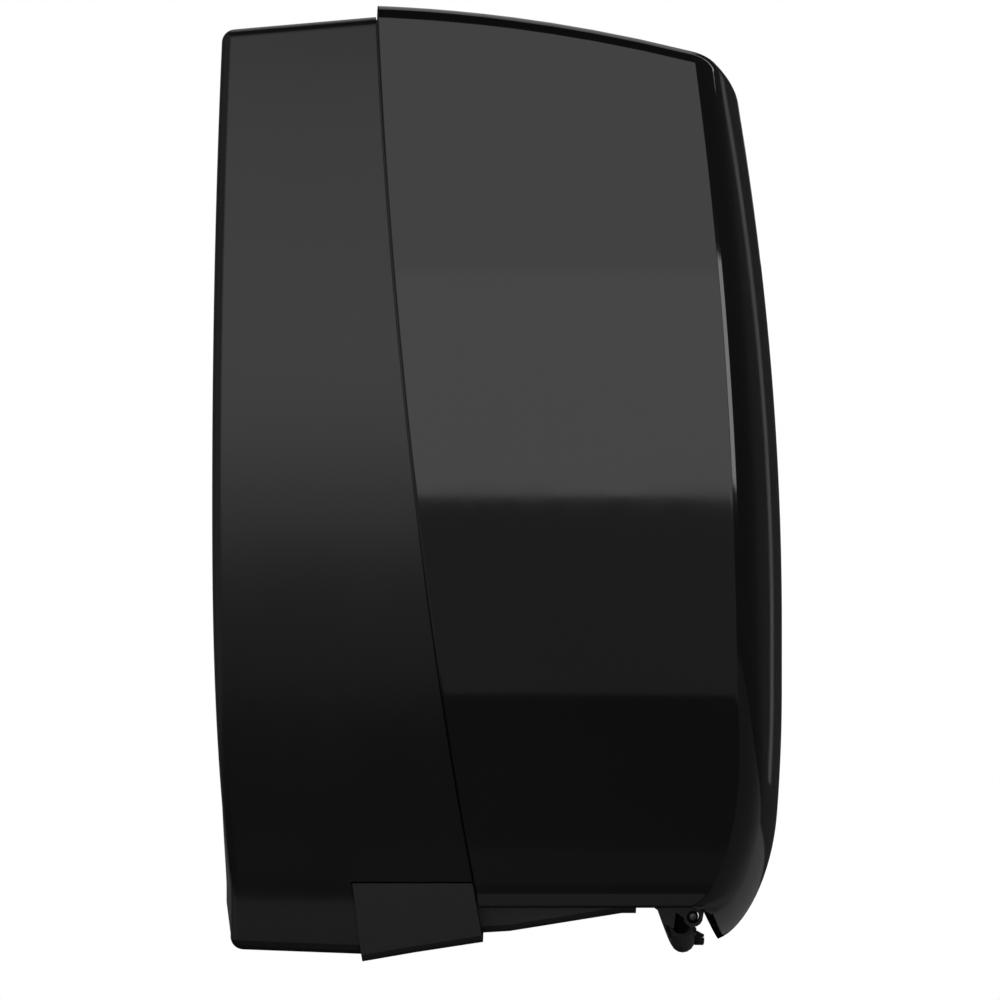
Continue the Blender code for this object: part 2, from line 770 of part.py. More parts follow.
def serrated_blade():
    """A strip along the front of the tear bar, with saw teeth that lean toward the middle."""
    teeth = 11
    root = 0.0006 - TOOTH_LENGTH
    right = [(0.05 * TOOTH_PITCH, 0.0), (0.5 * TOOTH_PITCH, root)]
    for k in range(teeth):
        start = (k + 0.5) * TOOTH_PITCH
        tooth = ((0.07, 0.0), (0.14, 0.0), (1.0, root))
        right += [(start + share * TOOTH_PITCH, out) for share, out in tooth]
    right.append((BAR_HALF, root))
    edge = [(-x, out) for x, out in reversed(right)] + right
    rows = []
    for x, out in edge:
        depth, z = tip_line(x)
        inner, outer = depth - TOOTH_LENGTH, depth + out
        low, high = z - BLADE_THICKNESS / 2, z + BLADE_THICKNESS / 2
        rows.append([at(x, inner, low), at(x, outer, low), at(x, outer, high), at(x, inner, high)])
    bm = skin(rows, closed=True, cap=True)
    bmesh.ops.holes_fill(bm, edges=[e for e in bm.edges if e.is_boundary])
    bmesh.ops.recalc_face_normals(bm, faces=bm.faces)
    add("serrated_blade", mesh_from("serrated_blade", bm), "chassis_black")


def paper_chute():
    """A guide from the chassis's front edge down to the rear wall of the tear bar."""
    steps, wall = 16, 0.0018
    upper = (0.1515, -0.1462)
    rows = [[], [], []]
    for k in range(steps + 1):
        x = blend(-BAR_HALF, BAR_HALF, k / steps)
        depth, z = tip_line(x)
        lower = (depth + BAR_REAR + 0.0014, z + BAR_REAR_TOP + 0.0014)
        for row, t in zip(rows, (0.0, 0.5, 1.0)):
            row.append(at(x, blend(upper[0], lower[0], t), blend(upper[1], lower[1], t)))
    obj = add("paper_chute", mesh_from("paper_chute", skin(rows)), "chassis_black")
    thicken(obj, wall)


# ---- roller drive ----


def gear_outline(centre, teeth, module, turn):
    """A gear with straight-flanked teeth."""
    pitch_radius = module * teeth / 2
    tip, root = pitch_radius + 0.8 * module, pitch_radius - 1.15 * module
    points = []
    for k in range(teeth):
        middle = turn + math.tau * k / teeth
        step = math.tau / teeth
        for radius, share in ((root, -0.34), (tip, -0.11), (tip, 0.11), (root, 0.34)):
            angle = middle + share * step
            points.append((centre[0] + radius * math.cos(angle), centre[1] + radius * math.sin(angle)))
    return points


def gears():
    dx, dz = PINCH_AXIS[0] - DRIVE_AXIS[0], PINCH_AXIS[1] - DRIVE_AXIS[1]
    module = 2 * math.hypot(dx, dz) / (DRIVE_TEETH + PINCH_TEETH)
    toward_pinch = math.atan2(dz, dx)
    low, high = GEAR_X - GEAR_WIDTH / 2, GEAR_X + GEAR_WIDTH / 2
    drive = gear_outline(DRIVE_AXIS, DRIVE_TEETH, module, toward_pinch)
    pinch_turn = toward_pinch + math.pi + math.pi / PINCH_TEETH
    pinch = gear_outline(PINCH_AXIS, PINCH_TEETH, module, pinch_turn)
    drive_bore = circle(DRIVE_AXIS, SHAFT_RADIUS + RUN_GAP)
    pinch_bore = circle(PINCH_AXIS, PINCH_SHAFT_RADIUS + RUN_GAP, 16)
    side_plate("drive_gear", [drive, drive_bore], low, high, "gear_plastic")
    side_plate("pinch_gear", [pinch, pinch_bore], low, high, "gear_plastic")


def feed_wheel():
    """A thumb wheel with a scalloped edge."""
    lobes, steps = 24, 72
    edge = []
    for k in range(steps):
        angle = math.tau * k / steps
        radius = FEED_WHEEL_RADIUS - 0.0006 * (1 - math.cos(lobes * angle))
        edge.append((DRIVE_AXIS[0] + radius * math.cos(angle), DRIVE_AXIS[1] + radius * math.sin(angle)))
    bore = circle(DRIVE_AXIS, SHAFT_RADIUS + RUN_GAP)
    side_plate("feed_wheel", [edge, bore], FEED_WHEEL_X - 0.004, FEED_WHEEL_X + 0.004, "grey_plastic")


def drive_rollers():
    depth, z = DRIVE_AXIS
    rod("drive_shaft", (-0.1205, depth, z), (0.1235, depth, z), SHAFT_RADIUS, "steel")
    tube("drive_roller", SHAFT_RADIUS + RUN_GAP, CORE_RADIUS, -0.1035, 0.1035, (0, depth, z), "grey_plastic")
    for k, x in enumerate((-0.068, 0.0, 0.068), start=1):
        inner = CORE_RADIUS + RUN_GAP
        tube(f"grip_sleeve_{k}", inner, GRIP_RADIUS, x - 0.026, x + 0.026, (0, depth, z), "rubber")
    for side in (-1, 1):
        label = "left" if side < 0 else "right"
        inner, outer, flange = SHAFT_RADIUS + RUN_GAP, 0.0075, 0.0095
        outside = [(flange, 0.1123), (flange, 0.1113), (outer, 0.1113), (outer, 0.1070)]
        profile = [*outside, (inner, 0.1070), (inner, 0.1123)]
        turned(f"drive_bush_{label}", profile, (0, depth, z), (side, 0, 0), "bronze")


def pinch_rollers():
    depth, z = PINCH_AXIS
    rod("pinch_shaft", (-0.1205, depth, z), (0.1070, depth, z), PINCH_SHAFT_RADIUS, "steel", 16)
    bore = PINCH_SHAFT_RADIUS + RUN_GAP
    tube("pinch_roller", bore, PINCH_RADIUS, -0.1025, 0.1025, (0, depth, z), "grey_plastic", 20)
    pivot_depth, pivot_z = PINCH_PIVOT
    ends = (-0.1108, pivot_depth, pivot_z), (0.1108, pivot_depth, pivot_z)
    rod("pinch_pivot_rod", *ends, PINCH_SHAFT_RADIUS, "steel", 16)
    around_pinch = circle(PINCH_AXIS, 0.0055, 16)
    around_pivot = circle(PINCH_PIVOT, 0.0055, 16)
    arm = [around_pinch[k] for k in (9, 10, 11, 12, 13, 14)]
    arm += [(0.1632, -0.0962), (0.1632, -0.0862), (0.1560, -0.0862)]
    arm += [around_pivot[k] for k in (1, 2, 3, 4, 5, 6, 7, 8, 9)]
    holes = [circle(axis, bore, 16) for axis in (PINCH_AXIS, PINCH_PIVOT)]
    bar_low, bar_high = (0.1562, -0.0952), (0.1622, -0.0872)
    wire, turns, radius, pitch = 0.0009, 6, 0.0042, 0.0011
    for side in (-1, 1):
        label = "left" if side < 0 else "right"
        low, high = sorted((side * ARM_INSIDE, side * (ARM_INSIDE + 0.0025)))
        side_plate(f"pinch_arm_{label}", [arm, *holes], low, high, "grey_plastic")
        coil_start = side * 0.0930
        leg_x = coil_start + side * pitch * turns
        legs = [
            (leg_x, pivot_depth + radius, pivot_z - 0.0040),
            (leg_x, bar_low[0] + 0.0015, bar_high[1] + 0.0008),
        ]
        centre, along = (coil_start, pivot_depth, pivot_z), (side, 0, 0)
        helix(f"pinch_spring_{label}", centre, along, radius, pitch, turns, wire, "spring_steel", legs)
    half = ARM_INSIDE - RUN_GAP
    box("pinch_cross_bar", (-half, *bar_low), (half, *bar_high), "grey_plastic")


# ---- roll holder ----


def screw_holes():
    """One cutter for the screws that hold the roll arms to the back."""
    bm = bmesh.new()
    for centre in arm_screw_places():
        size = {"radius1": 0.0021, "radius2": 0.0021, "depth": 0.0084}
        made = bmesh.ops.create_cone(bm, cap_ends=True, segments=12, **size)
        matrix = placed(at(centre[0], 0.0054, centre[1]), (0, 1, 0))
        bmesh.ops.transform(bm, matrix=matrix, verts=made["verts"])
    return add("screw_holes", mesh_from("screw_holes", bm))


def arm_screw_places():
    return [(side * 0.1210, z) for side in (-1, 1) for z in (0.032, 0.088)]


def arm_screws():
    """Pan head screws."""
    profile = [
        (0, 0.0020),
        (0.0022, 0.0017),
        (0.0035, 0.0004),
        (0.0035, 0.0),
        (0.0018, 0.0),
        (0.0018, -0.0050),
        (0, -0.0050),
    ]
    for number, (x, z) in enumerate(arm_screw_places(), start=1):
        turned(f"arm_screw_{number}", profile, (x, 0.0066, z), (0, -1, 0), "steel", 12, loop=False)


def arm_outline(rear):
    hub = circle(ROLL_AXIS, 0.0130, 24)
    nose = [hub[k] for k in (19, 20, 21, 22, 23, 0, 1, 2, 3, 4, 5)]
    return [(rear, 0.0300), *nose, (rear, 0.0900)]


def roll_arm_right():
    loops = [arm_outline(BACK_FACE), circle(ROLL_AXIS, HUB_PIN_RADIUS + RUN_GAP, 16)]
    obj = as_mesh(side_plate("roll_arm_right", loops, ARM_IN, ARM_OUT, "grey_plastic"), "grey_plastic")
    flange = box("right_flange", (ARM_OUT - 0.001, BACK_FACE, 0.0240), (0.1280, 0.0062, 0.0960))
    unite(obj, flange)
    cut(obj, bpy.data.objects["screw_holes"])


def roll_arm_bracket():
    low, high = 0.0240, 0.0960
    obj = box("roll_arm_bracket", (-0.1280, BACK_FACE, low), (-0.1050, 0.0062, high), "grey_plastic")
    for label, z in (("low", low), ("high", high - 0.004)):
        ear = box(f"ear_{label}", (-0.1165, 0.0050, z), (-0.1045, 0.0205, z + 0.004))
        unite(obj, ear)
    bore_low, bore_high = (ARM_PIVOT_X, ARM_PIVOT_DEPTH, 0.0), (ARM_PIVOT_X, ARM_PIVOT_DEPTH, 0.12)
    cut(obj, rod("ear_bore", bore_low, bore_high, 0.0023))
    cut(obj, bpy.data.objects["screw_holes"])
    rod("roll_arm_pivot_pin", (ARM_PIVOT_X, ARM_PIVOT_DEPTH, low - 0.001),
        (ARM_PIVOT_X, ARM_PIVOT_DEPTH, high + 0.001), 0.0020, "steel", 16)


def roll_arm_left():
    loops = [arm_outline(ARM_PIVOT_DEPTH), circle(ROLL_AXIS, HUB_PIN_RADIUS + RUN_GAP, 16)]
    obj = as_mesh(side_plate("roll_arm_left", loops, -ARM_OUT, -ARM_IN, "grey_plastic"), "grey_plastic")
    pivot = (ARM_PIVOT_X, ARM_PIVOT_DEPTH)
    knuckle_low, knuckle_high = 0.0284, 0.0780
    unite(obj, rod("knuckle", (*pivot, knuckle_low), (*pivot, knuckle_high), 0.0050))
    cut(obj, box("spring_room", (-0.1180, 0.0080, knuckle_high), (-0.1000, 0.0215, 0.1000)))
    cut(obj, rod("knuckle_bore", (*pivot, 0.0), (*pivot, 0.12), 0.0023))
    helix("roll_arm_spring", (*pivot, 0.0800), (0, 0, 1), 0.0034, 0.0016, 6, 0.0009, "spring_steel")


def hubs():
    depth, z = ROLL_AXIS
    bore = HUB_PIN_RADIUS + RUN_GAP
    for side in (-1, 1):
        label = "left" if side < 0 else "right"
        profile = [
            (0.0260, 0.1035),
            (0.0260, 0.1015),
            (0.0190, 0.1005),
            (0.0185, 0.0930),
            (0.0165, 0.0890),
            (bore, 0.0890),
            (bore, 0.1035),
        ]
        turned(f"core_hub_{label}", profile, (0, depth, z), (side, 0, 0), "grey_plastic", 28)
        head = [(0, 0.1104), (0.0055, 0.1104), (0.0055, 0.1080)]
        shank = [(HUB_PIN_RADIUS, 0.1080), (HUB_PIN_RADIUS, 0.0885), (0, 0.0885)]
        turned(f"hub_pin_{label}", head + shank, (0, depth, z), (side, 0, 0), "steel", 16, loop=False)


# ---- lock ----


def lock():
    frame = lock_matrix()
    top, bottom = 0.0018, -LOCK_LENGTH
    collar = [(0.0122, top), (0.0128, 0.0004), (0.0098, 0.0004)]
    sleeve = [(0.0098, -0.0120), (0.0083, -0.0120), (0.0083, top)]
    bezel = turned("lock_bezel", collar + sleeve, (0, 0, 0), (0, 0, 1), "zinc", 28)
    bezel.matrix_world = frame
    barrel_profile = [(0, 0.0012), (0.0074, 0.0012), (LOCK_RADIUS, 0.0006)]
    barrel_profile += [(LOCK_RADIUS, bottom), (0, bottom)]
    barrel = turned("lock_barrel", barrel_profile, (0, 0, 0), (0, 0, 1), "zinc", 24, loop=False)
    barrel.matrix_world = frame
    slot_bm = bmesh.new()
    bmesh.ops.create_cube(slot_bm, size=1.0)
    bmesh.ops.scale(slot_bm, vec=(0.0014, 0.0080, 0.0080), verts=slot_bm.verts)
    key_slot = add("key_slot", mesh_from("key_slot", slot_bm))
    key_slot.matrix_world = frame
    cut(barrel, key_slot)
    lock_cam(frame, bottom)
    lock_catch(frame, bottom)


def lock_cam(frame, bottom):
    """A hook on the barrel: open it points along +X, turned 90 degrees it closes behind the catch's post."""
    inner, outer, hub_radius, thickness = 0.0152, 0.0192, 0.0065, 0.0028
    start, end = math.radians(-38), math.radians(26)
    steps = 6
    arc = [blend(start, end, k / steps) for k in range(steps + 1)]
    spoke_end = start + math.radians(17)
    outline = [(outer * math.cos(a), outer * math.sin(a)) for a in arc]
    outline += [(inner * math.cos(a), inner * math.sin(a)) for a in reversed(arc) if a >= spoke_end]
    hub_start = math.radians(-15)
    hub_steps = 14
    for k in range(hub_steps + 1):
        a = hub_start + (math.tau - math.radians(65)) * k / hub_steps
        outline.append((hub_radius * math.cos(a), hub_radius * math.sin(a)))
    cam = add("lock_cam", flat_curve("lock_cam", [outline], thickness), "zinc")
    cam.matrix_world = frame @ Matrix.Translation((0, 0, bottom - RUN_GAP - thickness / 2))


def lock_catch(frame, bottom):
    """A block under the housing's top that carries the post."""
    centre = frame @ Vector((0, 0, bottom - 0.0017))
    post_depth = -centre.y - POST_OFFSET
    obj = box("lock_catch", (-0.012, 0.0450, 0.1745), (0.012, post_depth + 0.0030, 0.1775), "chassis_black")
    post = box("post", (-0.002, post_depth - 0.002, centre.z - 0.0045), (0.002, post_depth + 0.002, 0.1750))
    unite(obj, post)


clear_scene()
parts = collection("towel_dispenser")
cutters = collection("cutters", hidden=True)
rear_housing()
front_cover()
hinge_pins()
lower_chassis()
side_frames()
paper_chute()
tear_bar()
serrated_blade()
gears()
feed_wheel()
drive_rollers()
pinch_rollers()
roll_arm_right()
roll_arm_bracket()
roll_arm_left()
hubs()
arm_screws()
lock()
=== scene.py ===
"""The looks of a wall mounted roll towel dispenser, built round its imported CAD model.

Metres, +Z up. The wall is the plane Y = 0 and the front faces -Y, so "depth" below means the distance in
front of the wall, which is -Y. X = 0 is the middle of the width. Left is -X, and the camera looks at the
left side.
"""

import json
import math

import bmesh
import bpy
from mathutils import Matrix, Vector


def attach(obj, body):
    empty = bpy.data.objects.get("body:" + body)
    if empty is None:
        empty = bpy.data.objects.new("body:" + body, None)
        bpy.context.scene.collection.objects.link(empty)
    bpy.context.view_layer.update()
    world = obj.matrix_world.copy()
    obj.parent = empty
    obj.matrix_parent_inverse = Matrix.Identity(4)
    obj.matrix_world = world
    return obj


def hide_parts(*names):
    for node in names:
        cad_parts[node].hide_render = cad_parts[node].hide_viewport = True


# Outer form. These are the CAD model's values, except ROLL_END and CORNER_ON_SIDE, which are a little larger.
HALF_WIDTH = 0.166
TOP_NARROWING = 0.014
TOP_HEIGHT = 0.170
SKIRT_NARROWING = 0.024
SKIRT_HEIGHT = -0.1395
SKIRT_POWER = 2.5

COVER_WALL = 0.0026
COVER_DEPTH = 0.218
FRONT_ARC = 0.46
FRONT_PEAK_HEIGHT = -0.050
FRONT_UPPER_ARC = 1.24
FRONT_LOWER_START = -0.075
FRONT_LOWER_ARC = 0.625
ROLL_HEIGHT = 0.050
ROLL_DEPTH = 0.021
ROLL_END = math.radians(80.0)
RIM_HEIGHT = -0.1845
RIM_ARC = 0.27
CORNER_ON_SIDE = 0.0075
CORNER_ON_FRONT = 0.011
TOP_EDGE_HEIGHT = 0.1761
TOP_CROWN_ARC = 1.0
TOP_CROWN_HALF = 0.148
TOP_SLOPE = 0.0245
TOP_FALL = 0.98
TOP_START = 0.050
TOP_FILLET = 0.0053
REAR_EDGE_BOW = 0.002
REAR_LIP = 0.0046

PART_DEPTH = 0.0714
PART_SLOPE = -0.1174
PART_CURVE = 0.19
PART_GAP = 0.0006

HOUSING_WALL = 0.0028
HOUSING_INSET = 0.001
HOUSING_FILLET = 0.0045
HOUSING_TOP = 0.1672
HOUSING_TOP_SLOPE = 0.0689
HOUSING_CROWN_HALF = 0.1455
HOUSING_BOTTOM = -0.1623
HOUSING_BOTTOM_SLOPE = 0.050
BACK_FLAT_INSET = 0.014
TOP_RELIEF = 0.0016
SKIRT_RELIEF = 0.0029
FLANGE_STEP = 0.0034
FLANGE_TOP_STEP = 0.0008
FLANGE_LENGTH = 0.010
FLANGE_BOTTOM = -0.097
BOTTOM_SLOPE_DEPTH = 0.06
LEAST_CORNER = 0.001

# Where the chassis stands in the housing: the opening's corners, and points on the flange's relief above it.
CHASSIS_TOP = -0.1375
CHASSIS_REAR = 0.0474
CHASSIS_GAP = 0.0004
MOUTH_FOOT = (0.0514, -0.1700)
RELIEF_HEIGHTS = (-0.120, -0.108)
RELIEF_GAP = 0.0001
CUT_REACH = 0.2

# Hinge bosses, lock and the holes in the back.
COVER_HINGE = (0.118, -0.138)
BOSS_SPAN = (0.1340, 0.1416)
BOSS_RADIUS = 0.0065
HINGE_BORE_SPAN = (0.1320, 0.1403)
HINGE_BORE_RADIUS = 0.0028
LOCK_DEPTH = 0.088
LOCK_HOLE_RADIUS = 0.0102
HOLE_REACH = 0.01
WALL_HOLE_X = 0.085
KEYHOLE_HEIGHT = 0.130
KEYHOLE_RADIUS = 0.0050
KEYHOLE_SLOT_HALF = 0.0022
KEYHOLE_SLOT_LENGTH = 0.011
SCREW_HOLE_HEIGHT = -0.095
SCREW_HOLE_RADIUS = 0.0027
ARM_SCREW_X = 0.1210
ARM_SCREW_HEIGHTS = (0.032, 0.088)
ARM_THREAD_SPAN = (0.001, 0.0096)
ARM_THREAD_RADIUS = 0.0021

# Fineness of the two shells.
SMOOTH_BELOW = 50.0
SIDE_STEPS = 12
CORNER_STEPS = 14
FRONT_STEPS = 44
WALL_STEPS = 40
ROLL_STEPS = 16
FILLET_STEPS = 7
TOP_STEPS = 14
RING_SIDE_STEPS = 48
RING_FLAT_STEPS = 40
RING_CORNER_STEPS = 8
RING_DEPTH_STEPS = 8
COLUMNS = 2 * (SIDE_STEPS + CORNER_STEPS) + FRONT_STEPS + 1

# Where the search for a height on the cover starts, and how often it is refined.
RIM_SEARCH = (-0.15, 6)
TOP_SEARCH = (0.16, 8)

# Camera and stage.
CAMERA_X = -0.80
CAMERA_DEPTH = 0.1004
LENS = 66.0
SENSOR_WIDTH = 36.0
WHITE = (1.0, 1.0, 1.0, 1.0)
FLOOR_COLOUR = (0.90, 0.90, 0.90, 1.0)
FLOOR_ROUGHNESS = 0.9
FLOOR_GLOW = 0.30
FLOOR_HEIGHT = -0.46
FLOOR_REACH = 30.0
WORLD_LIGHT = 1.0
CARD_DISTANCE = 12.0
NEARER_CARD_DISTANCE = 0.98 * CARD_DISTANCE
CARD_FACE_DEGREES = 5


def at(x, depth, z):
    """The point at a distance in front of the wall."""
    return Vector((x, -depth, z))


def mix(a, b, t):
    return a + (b - a) * t


# ---- materials ----


def new_material(name):
    made = bpy.data.materials.new(name)
    made.use_nodes = True
    nodes, links = made.node_tree.nodes, made.node_tree.links
    return made, nodes, links, nodes["Principled BSDF"]


def object_noise(nodes, links, scale, detail=2.0, stretch=(1.0, 1.0, 1.0)):
    """A noise in the piece's own metres, finer for a larger scale; stretch draws it out along an axis."""
    coordinates = nodes.new("ShaderNodeTexCoord")
    mapping = nodes.new("ShaderNodeMapping")
    mapping.inputs["Scale"].default_value = stretch
    noise = nodes.new("ShaderNodeTexNoise")
    noise.inputs["Scale"].default_value = scale
    noise.inputs["Detail"].default_value = detail
    links.new(coordinates.outputs["Object"], mapping.inputs["Vector"])
    links.new(mapping.outputs["Vector"], noise.inputs["Vector"])
    return noise.outputs["Fac"]


def to_range(nodes, links, value, low, high):
    """Spreads the middle of a noise over a range."""
    spread = nodes.new("ShaderNodeMapRange")
    spread.inputs["From Min"].default_value = 0.3
    spread.inputs["From Max"].default_value = 0.7
    spread.inputs["To Min"].default_value = low
    spread.inputs["To Max"].default_value = high
    links.new(value, spread.inputs["Value"])
    return spread.outputs["Result"]


def waves(nodes, links, direction, scale):
    """Even stripes across one axis of the piece."""
    coordinates = nodes.new("ShaderNodeTexCoord")
    wave = nodes.new("ShaderNodeTexWave")
    wave.bands_direction = direction
    wave.inputs["Scale"].default_value = scale
    links.new(coordinates.outputs["Object"], wave.inputs["Vector"])
    return wave.outputs["Fac"]


def bump(nodes, links, shader, height, distance):
    made = nodes.new("ShaderNodeBump")
    made.inputs["Distance"].default_value = distance
    links.new(height, made.inputs["Height"])
    links.new(made.outputs["Normal"], shader.inputs["Normal"])


def tint(nodes, links, shader, value, dark, light):
    """Base colour that wanders between two colours."""
    blend = nodes.new("ShaderNodeMix")
    blend.data_type = "RGBA"
    blend.inputs["A"].default_value = (*dark, 1.0)
    blend.inputs["B"].default_value = (*light, 1.0)
    links.new(to_range(nodes, links, value, 0.0, 1.0), blend.inputs["Factor"])
    links.new(blend.outputs["Result"], shader.inputs["Base Color"])


def plastic(name, dark, light, roughness, grain, grain_depth, ior=1.46):
    """Moulded plastic: a colour that wanders a little, patchy roughness and a fine grain."""
    made, nodes, links, shader = new_material(name)
    shader.inputs["IOR"].default_value = ior
    cloud = object_noise(nodes, links, 14.0, 3.0)
    tint(nodes, links, shader, cloud, dark, light)
    links.new(to_range(nodes, links, cloud, *roughness), shader.inputs["Roughness"])
    bump(nodes, links, shader, object_noise(nodes, links, grain, 2.0), grain_depth)
    return made


def metal(name, colour, roughness, stretch, grain=900.0, grain_depth=0.000008):
    """Drawn or ground metal, its fine lines along the axis that stretch leaves short."""
    made, nodes, links, shader = new_material(name)
    shader.inputs["Metallic"].default_value = 1.0
    lines = object_noise(nodes, links, grain, 4.0, stretch)
    darker = tuple(0.82 * channel for channel in colour)
    tint(nodes, links, shader, lines, darker, colour)
    links.new(to_range(nodes, links, lines, *roughness), shader.inputs["Roughness"])
    bump(nodes, links, shader, lines, grain_depth)
    return made


def gloss_black():
    """Polished black plastic, with the faint long wave of a moulded panel."""
    made, nodes, links, shader = new_material("gloss_black")
    shader.inputs["IOR"].default_value = 1.50
    cloud = object_noise(nodes, links, 9.0, 2.0)
    tint(nodes, links, shader, cloud, (0.0034, 0.0034, 0.0037), (0.0044, 0.0044, 0.0048))
    smears = object_noise(nodes, links, 60.0, 4.0)
    links.new(to_range(nodes, links, smears, 0.045, 0.075), shader.inputs["Roughness"])
    bump(nodes, links, shader, object_noise(nodes, links, 16.0, 1.0), 0.00002)
    return made


def ribbed_black():
    """Chassis plastic with fine ridges that run along the width."""
    dark, light = (0.0060, 0.0060, 0.0064), (0.0090, 0.0090, 0.0095)
    made = plastic("ribbed_black", dark, light, (0.38, 0.52), 2200.0, 0.00003)
    nodes, links = made.node_tree.nodes, made.node_tree.links
    shader = nodes["Principled BSDF"]
    grain = next(node for node in nodes if node.bl_idname == "ShaderNodeBump")
    ribs = nodes.new("ShaderNodeBump")
    ribs.inputs["Distance"].default_value = 0.0003
    links.new(waves(nodes, links, "Y", 520.0), ribs.inputs["Height"])
    links.new(grain.outputs["Normal"], ribs.inputs["Normal"])
    links.new(ribs.outputs["Normal"], shader.inputs["Normal"])
    return made


def ribbed_rubber():
    """Grip rubber with shallow grooves round the roller."""
    made, nodes, links, shader = new_material("rubber")
    cloud = object_noise(nodes, links, 30.0, 3.0)
    tint(nodes, links, shader, cloud, (0.022, 0.022, 0.023), (0.040, 0.039, 0.038))
    links.new(to_range(nodes, links, cloud, 0.68, 0.88), shader.inputs["Roughness"])
    bump(nodes, links, shader, waves(nodes, links, "X", 110.0), 0.0004)
    return made


def make_materials():
    along_x, along_z, even = (0.04, 1.0, 1.0), (1.0, 1.0, 0.04), (1.0, 1.0, 1.0)
    satin = (0.0036, 0.0036, 0.0038), (0.0046, 0.0046, 0.0048)
    chassis = (0.0040, 0.0040, 0.0042), (0.0056, 0.0056, 0.0058)
    grey = (0.17, 0.17, 0.18), (0.22, 0.22, 0.23)
    cream = (0.56, 0.55, 0.50), (0.66, 0.65, 0.60)
    return {
        "gloss_black": gloss_black(),
        "satin_black": plastic("satin_black", *satin, (0.22, 0.26), 1800.0, 0.00002, 1.47),
        "chassis_black": plastic("chassis_black", *chassis, (0.30, 0.36), 2200.0, 0.00003),
        "ribbed_black": ribbed_black(),
        "grey_plastic": plastic("grey_plastic", *grey, (0.42, 0.55), 1700.0, 0.00004),
        "gear_plastic": plastic("gear_plastic", *cream, (0.38, 0.50), 1500.0, 0.00002),
        "rubber": ribbed_rubber(),
        "steel": metal("steel", (0.62, 0.62, 0.63), (0.22, 0.36), along_x),
        "dark_steel": metal("dark_steel", (0.16, 0.16, 0.165), (0.42, 0.55), even, 600.0),
        "spring_steel": metal("spring_steel", (0.46, 0.46, 0.48), (0.28, 0.42), even),
        "bronze": metal("bronze", (0.50, 0.31, 0.13), (0.34, 0.50), even, 1400.0, 0.00003),
        "zinc": metal("zinc", (0.60, 0.60, 0.61), (0.14, 0.24), along_z),
    }


def assign(obj, made):
    obj.data.materials.clear()
    obj.data.materials.append(made)


# ---- mesh tools ----


def mesh_object(name, bm):
    mesh = bpy.data.meshes.new(name)
    bm.to_mesh(mesh)
    bm.free()
    obj = bpy.data.objects.new(name, mesh)
    bpy.context.scene.collection.objects.link(obj)
    return obj


def piece(name, bm, body, made, replaced):
    """A piece of the visual model that rides a CAD body and stands in for CAD nodes."""
    obj = mesh_object(name, bm)
    obj.data.materials.append(made)
    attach(obj, body)
    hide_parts(*replaced)
    return obj


def shade(obj):
    """Smooth, except at edges sharper than SMOOTH_BELOW degrees."""
    obj.data.shade_smooth()
    obj.data.set_sharp_from_angle(angle=math.radians(SMOOTH_BELOW))


def skin(rows, closed=False, cap=False):
    """A surface through rows of points, its faces pointing out; cap fills the first row."""
    bm = bmesh.new()
    grid = [[bm.verts.new(point) for point in row] for row in rows]
    count = len(rows[0])
    last = count if closed else count - 1
    for lower, upper in zip(grid, grid[1:]):
        for c in range(last):
            n = (c + 1) % count
            bm.faces.new((lower[c], lower[n], upper[n], upper[c]))
    if cap:
        bm.faces.new(grid[0])
    bmesh.ops.remove_doubles(bm, verts=bm.verts, dist=1e-6)
    bmesh.ops.recalc_face_normals(bm, faces=bm.faces)
    return bm


def thicken(obj, wall):
    """Gives a skin its wall, on the inside."""
    solid = obj.modifiers.new("wall", "SOLIDIFY")
    solid.thickness = wall
    solid.offset = -1.0
    solid.use_even_offset = True
    solid.use_quality_normals = True


def even_normals(obj):
    """Keeps the wide faces' shading free of the thin rims beside them."""
    weighted = obj.modifiers.new("even_normals", "WEIGHTED_NORMAL")
    weighted.keep_sharp = True
    weighted.weight = 100


def cutter(name, bm):
    """A hidden form to cut from a piece or to join to it."""
    obj = mesh_object(name, bm)
    obj.hide_render = True
    obj.hide_viewport = True
    return obj


def boolean(obj, other, operation):
    """Cuts or joins another form, which is tied to the piece so that it follows in every pose."""
    other.parent = obj
    made = obj.modifiers.new(operation.lower(), "BOOLEAN")
    made.operation = operation
    made.object = other
    made.solver = "EXACT"


def rod(start, end, radius, sides=48):
    """A cylinder between two (x, depth, z) points."""
    start, end = at(*start), at(*end)
    bm = bmesh.new()
    size = {"radius1": radius, "radius2": radius, "depth": (end - start).length}
    bmesh.ops.create_cone(bm, cap_ends=True, segments=sides, **size)
    turn = Vector((0, 0, 1)).rotation_difference((end - start).normalized()).to_matrix().to_4x4()
    bmesh.ops.transform(bm, matrix=Matrix.Translation((start + end) / 2) @ turn, verts=bm.verts)
    return bm


def block(low, high):
    """A box between two opposite (x, depth, z) corners."""
    low, high = at(*low), at(*high)
    bm = bmesh.new()
    bmesh.ops.create_cube(bm, size=1.0)
    size = [abs(a - b) for a, b in zip(low, high)]
    bmesh.ops.scale(bm, vec=size, verts=bm.verts)
    bmesh.ops.translate(bm, vec=(low + high) / 2, verts=bm.verts)
    return bm


def prism(loop, low, high):
    """A solid between two values of X with a (depth, height) outline."""
    bm = bmesh.new()
    near = [bm.verts.new(at(low, depth, z)) for depth, z in loop]
    far = [bm.verts.new(at(high, depth, z)) for depth, z in loop]
    bm.faces.new(near)
    bm.faces.new(far[::-1])
    for k in range(len(loop)):
        n = (k + 1) % len(loop)
        bm.faces.new((near[k], far[k], far[n], near[n]))
    bmesh.ops.recalc_face_normals(bm, faces=bm.faces)
    return bm


# ---- outer form ----


